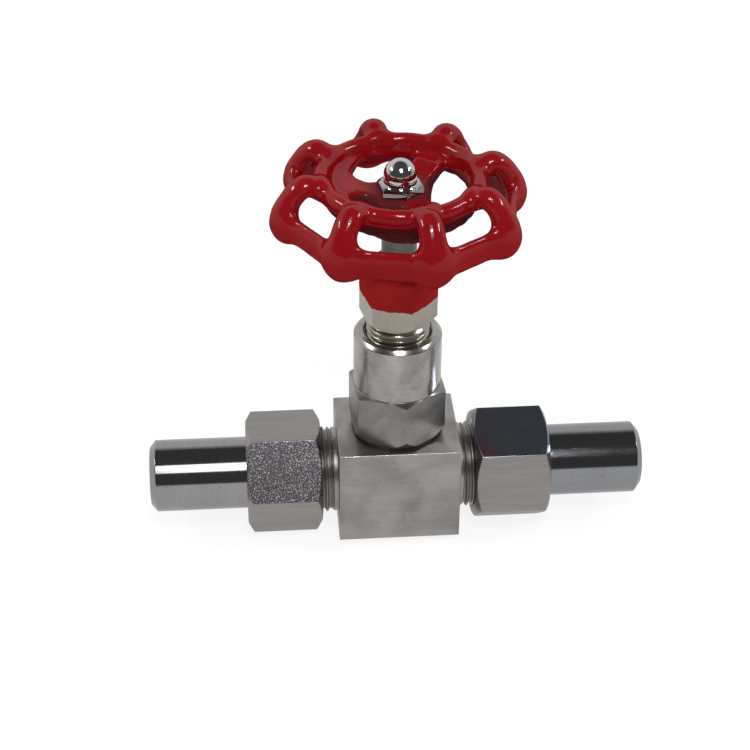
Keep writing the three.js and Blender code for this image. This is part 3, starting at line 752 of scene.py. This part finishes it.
def overcoat():
    """Thick paint on the upper gland nut: a skin over a hexagon with softer corners, down to a ragged
    line, which is a sum of sines round the nut."""
    angles, radius = flat_sided(6, GLAND_AF / 2, GLAND_TURN, 0.5, 13, 31)
    outer = polygon(angles, 6, GLAND_AF / 2 + COAT_THICK, GLAND_TURN, COAT_CORNER)
    outer = np.maximum(outer, radius + 0.05)
    front = angles + np.pi / 2
    ragged = sum(height * np.sin(count * front + start) for height, count, start in COAT_WAVES)
    edge = COAT_LINE + COAT_DIP * (1 - np.cos(front - 0.1)) + ragged
    rows = [
        (radius - 0.1, edge),
        (radius + 0.02, edge - 0.03),
        (outer - 0.02, edge + 0.08),
        (outer, edge + 0.25),
        (outer, GLAND_TOP - 1.1),
        (outer - 0.12, GLAND_TOP - 0.45),
        (outer - 0.4, GLAND_TOP - 0.02),
        (outer - 0.9, GLAND_TOP + 0.1),
        (GLAND_HOLE + 0.4, GLAND_TOP + 0.1),
        (GLAND_HOLE + 0.3, GLAND_TOP - 0.1),
        (radius - 0.9, GLAND_TOP - 0.1),
        (radius - 0.1, GLAND_TOP - 1.1),
    ]
    return around("gland_overcoat", rows, angles)


fitted(bonnet(), BONNET_STEEL, "valve_body", "turned_steel", "bonnet")
fitted(gland_nut(), NICKEL, "valve_body", "nickel", "gland_nut")
fitted(overcoat(), COAT, "valve_body", "red_enamel")


# Stem and domed nut
def stem():
    """Shaft with its lifting thread, crimped socket, square and stud; the square is a polygon with
    softened corners on the same angles."""
    corners = flat_sided(4, SQUARE_HALF, SQUARE_TURN, SQUARE_CORNER, 5, 9)[0]
    angles = np.unique(np.concatenate([corners % TAU, even(72) + 0.01]))
    square = polygon(angles, 4, SQUARE_HALF, SQUARE_TURN, SQUARE_CORNER)
    foot = [
        (0, NEEDLE_ROOF),
        (NEEDLE_BORE, NEEDLE_ROOF),
        (NEEDLE_BORE, CRIMP_TOP),
        (CRIMP, CRIMP_TOP),
        (CRIMP, STEM_FOOT),
        (STEM_TIP, STEM_FOOT),
        (STEM_TIP, NEEDLE_ROOF),
    ]
    stud = [(STUD, STUD_START), (STUD, STUD_TOP - STUD_EDGE), (STUD - STUD_EDGE, STUD_TOP), (0, STUD_TOP)]
    rows = [
        *eased(foot, 0.08, closed=False),
        *thread_rows(angles, LIFT_START, LIFT_END, LIFT_ROOT, LIFT_CREST, 12),
        (STEM, LIFT_END + 0.1),
        (STEM, HUB_FOOT),
        (square, HUB_FOOT + 0.02),
        (square, SQUARE_TOP),
        (square - SQUARE_EDGE, STUD_START),
        *eased(stud, 0.08, closed=False),
    ]
    return around("stem", rows, angles, ring=False)


def acorn_nut():
    """Chamfered hexagon with a dome: a short waist, then a quarter circle turned round the axis.
    Blind bored for the stud."""
    angles, radius = flat_sided(6, ACORN_AF / 2, ACORN_TURN, 0.18, 7, 13)
    top = ACORN_SEAT + ACORN_HEX
    centre = ACORN_SEAT + ACORN_HEIGHT - ACORN_DOME
    roof = ACORN_SEAT + ACORN_DEPTH
    bore = [(0, roof), (ACORN_BORE, roof), (ACORN_BORE, ACORN_SEAT)]
    side = hexagon_side(radius, ACORN_SEAT, top, *ACORN_CHAMFERS, ACORN_AF)
    rows = eased([*bore, *side, (ACORN_DOME, top + 0.12)], 0.07, closed=False)
    rows += [(ACORN_DOME - 0.06, top + 0.25)]
    rise = np.linspace(-0.28, np.pi / 2, 26)
    rows += [(ACORN_DOME * np.cos(a), centre + ACORN_DOME * np.sin(a)) for a in rise]
    return around("acorn_nut", rows, angles, ring=False)


fitted(stem(), SHADED_STEM_STEEL, "spindle", "turned_steel", "stem")
fitted(acorn_nut(), CHROME, "spindle", "chrome", "acorn_nut")


# Unions
def nipple(side):
    """Collar and pipe stub with a bevelled end, turned round the run."""
    corners = [
        (BORE, NIPPLE_START),
        (COLLAR, NIPPLE_START),
        (COLLAR, COLLAR_END),
        (PIPE, COLLAR_END),
        (PIPE, PIPE_END - BEVEL_RUN),
        (PIPE - BEVEL, PIPE_END),
        (BORE, PIPE_END),
    ]
    return around(f"weld_nipple_{side}", eased(corners, 0.14), even(160), OUTWARD[side])


def union_nut(side):
    """Hexagon chamfered at both ends, bored for the neck, with a back wall round the stub and a
    lead-in at each mouth."""
    angles, radius = flat_sided(6, NUT_AF / 2, NUT_TURN[side], 0.3, 7, 25)
    hole = PIPE + NUT_SLACK
    corners = [
        *hexagon_side(radius, NUT_INNER, NUT_OUTER, *NUT_CHAMFERS, NUT_AF),
        (hole + NUT_EDGE, NUT_OUTER),
        (hole, NUT_OUTER - NUT_EDGE),
        (hole, COLLAR_END),
        (NUT_BORE, COLLAR_END),
        (NUT_BORE, NUT_INNER + NUT_LEAD),
        (NUT_MOUTH, NUT_INNER),
    ]
    return around(f"union_nut_{side}", eased(corners, 0.12), angles, OUTWARD[side])


for side in ("left", "right"):
    fitted(nipple(side), STUB_STEEL[side], f"nipple_{side}", "turned_steel", f"weld_nipple_{side}")
    fitted(union_nut(side), NUT_STEEL[side], f"nut_{side}", "plain_steel", f"union_nut_{side}")


# Handwheel casting. Heights are from the hub's underside, and a half is half a width.
WHEEL_SIDES, WHEEL_TURN, WHEEL_LEAN = 8, 11.2, 1.2
RING, RING_LEVEL, RING_HALF, RING_HALF_HEIGHT = 18.6, 13.2, 2.0, 2.4
SKIRT, SKIRT_HALF, SKIRT_TOP, SKIRT_FOOT, SKIRT_CORNER = 17.5, 0.9, 12.0, 8.9, 0.5
FINGER_STATIONS = [(19.9, 13.9), (23.3, 14.65), (26.6, 11.6), (28.6, 6.5), (28.4, 5.4)]
FINGER_HALF, FINGER_HALF_WIDTH = 2.55, 3.05
RIM, RIM_LEVEL, RIM_HALF, RIM_HALF_HEIGHT = 28.4, 5.4, 1.45, 3.65
KNOB, KNOB_HALF, KNOB_HALF_WIDTH, KNOB_SCALE = 28.3, 2.2, 3.3, 2.5
SPOKES, SPOKE_TURN, SPOKE_HALF, WINDOW = 3, 55, 3.3, 16.8
SPOKE_UNDER = [(-2.0, 1.0), (9.6, 1.0), (11.6, 7.4), (18.2, 10.2)]
SPOKE_OVER = [(18.2, 12.6), (12.5, 12.6), (8.4, 11.2), (6.0, 9.9), (-2.0, 9.9)]
HUB, HUB_HALF_HEIGHT, HUB_CORNER = 7.4, 4.95, 0.8
PAD, PAD_LEVEL, PAD_HALF_HEIGHT, PAD_CORNER = 6.0, 9.2, 1.0, 0.2
SQUARE_HOLE = 3.2
WHEEL_LOW, WHEEL_HIGH = (-32.6, -32.6, -1.0), (32.6, 32.6, 18.4)
LATTICE, QUICK_LATTICE = 0.42, 0.8


def blend_in(a, b, reach):
    """Two distances joined with a fillet: the smaller one, lowered where they are within reach of each
    other."""
    near = np.maximum(reach - np.abs(a - b), 0) / reach
    return np.minimum(a, b) - near * near * reach / 4


def meet(a, b, reach):
    """What two distances have in common, with the corner between them rounded off over the reach."""
    return -blend_in(-a, -b, reach)


def oval_away(u, v, half_u, half_v):
    """Near enough the distance to an oval: how far outside it a point is, over how fast that grows."""
    k1 = np.sqrt((u / half_u) ** 2 + (v / half_v) ** 2)
    k2 = np.sqrt((u / half_u**2) ** 2 + (v / half_v**2) ** 2)
    return k1 * (k1 - 1) / np.maximum(k2, 1e-3)


def rounded_box_away(u, v, middle, half, soft):
    """Distance to a box in a plane with rounded corners."""
    du = np.abs(u - middle[0]) - half[0] + soft
    dv = np.abs(v - middle[1]) - half[1] + soft
    return np.hypot(np.maximum(du, 0), np.maximum(dv, 0)) + np.minimum(np.maximum(du, dv), 0) - soft


def polygon_away(u, v, corners):
    """Distance to a polygon's outline, negative inside: the nearest of its sides, signed by how often
    a ray crosses them."""
    best = np.full(u.shape, 1e9)
    inside = np.ones(u.shape)
    for (au, av), (bu, bv) in zip(corners, corners[1:] + corners[:1]):
        eu, ev = bu - au, bv - av
        wu, wv = u - au, v - av
        t = np.clip((wu * eu + wv * ev) / (eu * eu + ev * ev), 0, 1)
        best = np.minimum(best, (wu - eu * t) ** 2 + (wv - ev * t) ** 2)
        c = np.stack([v >= av, v < bv, eu * wv > ev * wu])
        inside = np.where(c.all(0) | (~c).all(0), -inside, inside)
    return inside * np.sqrt(best)


def finger_path(count=28):
    """The middle line of one finger in the plane of the stem: a smooth curve through its stations
    from the ring to the rim."""
    knots = np.array(FINGER_STATIONS)
    ends = np.vstack([2 * knots[0] - knots[1], knots, 2 * knots[-1] - knots[-2]])
    t = np.linspace(0, len(knots) - 1 - 1e-6, count)
    i = t.astype(int)
    f = (t - i)[:, None]
    a, b, c, d = (ends[i + k] for k in range(4))
    curve = (2 * a - 5 * b + 4 * c - d) * f**2 + (3 * b - a - 3 * c + d) * f**3
    return 0.5 * (2 * b + (c - a) * f + curve)


def sector(x, y, turn, count):
    """The same point seen in the nearest of count equal sectors: along the sector's middle and
    across it."""
    pitch = TAU / count
    angle = np.arctan2(y, x) - math.radians(turn)
    angle = (angle + pitch / 2) % pitch - pitch / 2
    radius = np.hypot(x, y)
    return radius * np.cos(angle), radius * np.sin(angle)


FINGER_PATH = finger_path()


def ring_away(radius, angle, z):
    """The inner ring, an oval in section, and the skirt below it, whose foot wanders."""
    ring = oval_away(radius - RING, z - RING_LEVEL, RING_HALF, RING_HALF_HEIGHT)
    foot = SKIRT_FOOT + 1.6 * np.sin(angle - 0.35) + 0.2 * np.sin(17 * angle) * np.sin(11 * angle + 1.0)
    middle, half = (SKIRT_TOP + foot) / 2, (SKIRT_TOP - foot) / 2
    skirt = rounded_box_away(radius, z, (SKIRT, middle), (SKIRT_HALF, half), SKIRT_CORNER)
    return blend_in(ring, skirt, 0.9)


def outer_away(x, y, z, angle):
    """The fingers, ovals along their path, the knobs at their ends, and the straight sides of the
    rim, which is thinner at the back."""
    along, across = sector(x, y, WHEEL_TURN, WHEEL_SIDES)
    nearest = np.full(x.shape, 1e9)
    for (ax, az), (bx, bz) in zip(FINGER_PATH[:-1], FINGER_PATH[1:]):
        ex, ez = bx - ax, bz - az
        t = np.clip(((along - ax) * ex + (z - az) * ez) / (ex * ex + ez * ez), 0, 1)
        nearest = np.minimum(nearest, (along - ax - t * ex) ** 2 + (z - az - t * ez) ** 2)
    fingers = oval_away(np.sqrt(nearest), across, FINGER_HALF, FINGER_HALF_WIDTH)
    out, wide = (along - KNOB) / KNOB_HALF, across / KNOB_HALF_WIDTH
    knobs = (np.sqrt(out**2 + wide**2 + ((z - RIM_LEVEL) / RIM_HALF_HEIGHT) ** 2) - 1) * KNOB_SCALE
    half_turn = math.pi / WHEEL_SIDES
    side_along, side_across = sector(x, y, WHEEL_TURN + 180 / WHEEL_SIDES, WHEEL_SIDES)
    past = np.maximum(np.abs(side_across) - RIM * math.sin(half_turn), 0)
    thinner = 0.5 * (1 + np.sin(angle))
    offset = side_along - RIM * math.cos(half_turn)
    bar = oval_away(offset, z - RIM_LEVEL - thinner, RIM_HALF, RIM_HALF_HEIGHT - thinner)
    rim = np.where(past > 0, np.hypot(bar, past), bar)
    return blend_in(blend_in(fingers, knobs, 2.0), rim, 3.6)


def spokes_away(x, y, z, radius):
    """The spokes: their outline in the plane of the stem, less the openings between them. The left
    one is wider towards the ring."""
    outline = polygon_away(radius, z, SPOKE_UNDER + SPOKE_OVER)
    left = np.clip(0.5 - x / 8, 0, 1)
    flare = 2.2 * np.clip((radius - 11) / 3, 0, 1) + 3.4 * np.clip((radius - 13.2) / 2, 0, 1)
    half_width = SPOKE_HALF + (0.10 + 0.12 * left) * np.maximum(radius - 9, 0) + left * flare
    across = np.abs(sector(x, y, SPOKE_TURN, SPOKES)[1])
    opening = meet(radius - WINDOW, half_width - across, 3.4 + 1.6 * left)
    return meet(outline, -opening, 1.8)


def wheel_away(x, y, z):
    """How far a point lies from the casting's skin, negative inside: ring, fingers, rim, knobs, spokes
    and hub, each joined to the next with a fillet, a shallow ripple over all but the hub, and the
    square hole."""
    radius, angle = np.hypot(x, y), np.arctan2(y, x)
    shape = blend_in(ring_away(radius, angle, z), outer_away(x, y, z, angle), 2.0)
    shape = blend_in(shape, spokes_away(x, y, z, radius), 1.8)
    hub = rounded_box_away(radius, z, (0, HUB_HALF_HEIGHT), (HUB, HUB_HALF_HEIGHT), HUB_CORNER)
    pad = rounded_box_away(radius, z, (0, PAD_LEVEL), (PAD, PAD_HALF_HEIGHT), PAD_CORNER)
    shape = blend_in(shape, blend_in(hub, pad, 0.4), 2.4)
    ripple = 0.03 * np.sin(0.9 * x + 1.1 * z) * np.sin(0.8 * y - 0.7 * z + 1.0)
    ripple += 0.008 * np.sin(2.1 * x - 1.7 * y) * np.sin(1.9 * z + 0.6 * y)
    shape = shape + ripple * np.clip((radius - 9) / 3, 0, 1)
    return np.maximum(shape, SQUARE_HOLE - np.maximum(np.abs(x), np.abs(y)))


def skin(away, low, high, step):
    """The surface where a distance formula is nought. The formula is worked out on a lattice; every
    cell that the surface crosses gets one point, the mean of its crossed edges, and every crossed
    edge of the lattice joins the four cells round it. The points are then drawn exactly on to the
    surface along its slope."""
    axes = [np.arange(a, b + step, step) for a, b in zip(low, high)]
    value = away(*np.meshgrid(*axes, indexing="ij")).astype(np.float32)
    inside = value < 0
    cells = tuple(n - 1 for n in value.shape)
    total = np.zeros((*cells, 3), np.float32)
    crossed = np.zeros(cells, np.int32)
    for axis in range(3):
        first = np.take(value, np.arange(value.shape[axis] - 1), axis)
        second = np.take(value, np.arange(1, value.shape[axis]), axis)
        change = (first < 0) != (second < 0)
        share = np.where(change, first / np.where(change, first - second, 1), 0)
        others = [o for o in range(3) if o != axis]
        for i in (0, 1):
            for j in (0, 1):
                pick = [slice(None)] * 3
                pick[others[0]] = slice(i, i + cells[others[0]])
                pick[others[1]] = slice(j, j + cells[others[1]])
                here, part = change[tuple(pick)], share[tuple(pick)]
                crossed += here
                total[..., axis] += np.where(here, part, 0)
                total[..., others[0]] += here * i
                total[..., others[1]] += here * j
    live = crossed > 0
    number = np.full(cells, -1)
    number[live] = np.arange(live.sum())
    corner = np.argwhere(live)
    points = (corner + total[live] / crossed[live][:, None]) * step + np.array(low)
    faces = []
    for axis in range(3):
        b, c = (axis + 1) % 3, (axis + 2) % 3
        first = np.take(inside, np.arange(value.shape[axis] - 1), axis)
        second = np.take(inside, np.arange(1, value.shape[axis]), axis)
        for out, where in ((True, first & ~second), (False, ~first & second)):
            at = np.argwhere(where)
            at = at[(at[:, b] > 0) & (at[:, c] > 0)]
            round_edge = []
            for db, dc in ((-1, -1), (0, -1), (0, 0), (-1, 0)):
                cell = at.copy()
                cell[:, b] += db
                cell[:, c] += dc
                round_edge.append(number[tuple(cell.T)])
            quad = np.stack(round_edge, -1)
            faces.append(quad if out else quad[:, ::-1])
    faces = np.concatenate(faces)

    def slope(p):
        reach = 0.02
        rises = [away(*(p + reach * d).T) - away(*(p - reach * d).T) for d in np.eye(3)]
        return np.stack(rises, -1) / (2 * reach)

    for _ in range(3):
        mean, count = np.zeros_like(points), np.zeros(len(points))
        for i in range(4):
            np.add.at(mean, faces[:, i], points[faces[:, i - 1]] + points[faces[:, i - 3]])
            np.add.at(count, faces[:, i], 2)
        points = 0.5 * points + 0.5 * mean / count[:, None]
        for _ in range(2):
            g = slope(points)
            off = np.clip(away(*points.T), -0.4, 0.4)[:, None]
            points = points - off * g / np.maximum((g * g).sum(1), 0.2)[:, None]
    g = slope(points)
    return points, faces, g / np.maximum(np.linalg.norm(g, axis=1), 1e-9)[:, None]


def handwheel():
    """The casting's skin, lifted to its place on the stem, where it sits a little askew on its
    square."""
    step = LATTICE
    points, faces, normals = skin(wheel_away, WHEEL_LOW, WHEEL_HIGH, step)
    lean = np.array(Matrix.Rotation(math.radians(WHEEL_LEAN), 3, "X"))
    middle = np.array([0, 0, HUB_TOP - HUB_FOOT])
    points = (points - middle) @ lean.T + middle
    points[:, 2] += RUN + HUB_FOOT
    return mesh_piece("handwheel", points, faces, normals @ lean.T)


fitted(handwheel(), ENAMEL, "spindle", "red_enamel", "handwheel")


# Pieces kept as they are
for name, finish in {
    "bonnet_gasket": SHADED_GASKET,
    "union_seal_left": COPPER,
    "union_seal_right": COPPER,
    "packing_base_ring": PLAIN_STEEL,
    "gland_follower": PLAIN_STEEL,
    "needle_tip": PLAIN_STEEL,
    "packing_ring_1": PACKING,
    "packing_ring_2": PACKING,
    "packing_ring_3": PACKING,
    "packing_ring_4": PACKING,
}.items():
    finished(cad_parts[name], finish)


# Floor, light and camera
def floor():
    """A pale sheet that keeps a soft shadow; seen directly or in metal it is near white."""
    half, low = 3.0, -2.1 * MM
    mesh = bpy.data.meshes.new("floor")
    corners = [(-half, -half, low), (half, -half, low), (half, half, low), (-half, half, low)]
    mesh.from_pydata(corners, [], [(0, 1, 2, 3)])
    sheet = new_object("floor", mesh)
    finish, tree, shader = tree_of("pale floor")
    tree.nodes.remove(shader)
    path = add(tree, "ShaderNodeLightPath").outputs
    seen = maths(tree, "MAXIMUM", path["Is Camera Ray"], path["Is Glossy Ray"])
    share = times(tree, seen, 0.78)
    matt = add(tree, "ShaderNodeBsdfDiffuse", {"Color": (0.86, 0.86, 0.86, 1)})
    level = spread(tree, path["Is Camera Ray"], 0.0, 1.0, 0.70, 1.1)
    glow = add(tree, "ShaderNodeEmission", {"Color": (1, 1, 1, 1), "Strength": level})
    blend = add(tree, "ShaderNodeMixShader", {0: share, 1: matt.outputs[0], 2: glow.outputs[0]})
    feed(tree.nodes["Material Output"], 0, blend.outputs[0])
    mesh.materials.append(finish)


def lamp(name, place, aim, width, height, watts):
    """A soft rectangular lamp that faces its aim."""
    light = bpy.data.lights.new(name, "AREA")
    light.shape, light.size, light.size_y, light.energy = "RECTANGLE", width, height, watts
    holder = new_object(name, light)
    holder.location = place
    holder.rotation_euler = (Vector(aim) - Vector(place)).to_track_quat("-Z", "Y").to_euler()
    holder.visible_camera = False


def surroundings():
    """White for the camera. Metal sees a pale wall behind and round the floor's edge, and a dim room
    above and in front."""
    world = bpy.data.worlds.new("studio")
    bpy.context.scene.world = world
    world.use_nodes = True
    tree = world.node_tree
    back = tree.nodes["Background"]
    parts = parts_of(tree, "Generated")
    behind = spread(tree, parts[1], -0.25, 0.35)
    low = spread(tree, parts[2], 0.84, 0.66)
    edge = spread(tree, parts[2], 0.10, 0.02)
    pale = maths(tree, "MAXIMUM", times(tree, behind, low), edge)
    room = spread(tree, pale, 0.0, 1.0, 0.07, 0.72)
    path = add(tree, "ShaderNodeLightPath").outputs
    in_metal = {0: path["Is Glossy Ray"], 2: 0.5, 3: room}
    fill = add(tree, "ShaderNodeMix", in_metal, data_type="FLOAT").outputs[0]
    seen = {0: path["Is Camera Ray"], 2: fill, 3: 1.0}
    feed(back, "Strength", add(tree, "ShaderNodeMix", seen, data_type="FLOAT").outputs[0])
    feed(back, "Color", (1, 1, 1, 1))


# The photograph's view: angles round the valve in degrees, the rest in millimetres and pixels
AZIMUTH, HEIGHT, ROLL = -4.74, 34.0, 0.47
DISTANCE, SIDE_SHIFT, RISE = 491.12, -5.56, 23.52
FOCAL, PICTURE, SENSOR = 1892.26, 750, 36


def camera():
    """The photograph's view: the target on the valve, its distance, and the turn, height and roll
    round it."""
    azimuth, height, roll = map(math.radians, (AZIMUTH, HEIGHT, ROLL))
    level = math.cos(height)
    back = Vector((math.sin(azimuth) * level, -math.cos(azimuth) * level, math.sin(height)))
    flat_right = (-back).cross(Vector((0, 0, 1))).normalized()
    flat_up = flat_right.cross(-back)
    right = flat_right * math.cos(roll) + flat_up * math.sin(roll)
    up = flat_up * math.cos(roll) - flat_right * math.sin(roll)
    place = (flat_right * SIDE_SHIFT + flat_up * RISE + back * DISTANCE + Vector((0, 0, RUN))) * MM
    lens = bpy.data.cameras.new("camera")
    lens.sensor_width, lens.lens = SENSOR, FOCAL / PICTURE * SENSOR
    lens.clip_start, lens.clip_end = 0.01, 50
    view = new_object("camera", lens)
    rows = [(right[i], up[i], back[i], place[i]) for i in range(3)]
    view.matrix_world = Matrix((*rows, (0, 0, 0, 1)))
    bpy.context.scene.camera = view


# Lamps: place and aim in metres, width and height in metres, power in watts
LAMPS = {
    "front lamp": ((0.03, -0.68, 1.0), (0.0, 0.0, 0.013), 0.34, 0.53, 1.9),
    "front core": ((0.03, -0.67, 0.98), (0.0, 0.0, 0.013), 0.26, 0.045, 2.5),
    "left lamp": ((-0.92, 0.06, 0.75), (0.0, 0.0, 0.05), 0.40, 0.11, 2.6),
    "right lamp": ((0.92, -0.04, 0.75), (0.0, 0.0, 0.05), 0.40, 0.11, 2.6),
}

floor()
surroundings()
camera()
for name, settings in LAMPS.items():
    lamp(name, *settings)
bpy.context.scene.view_settings.view_transform = "Standard"
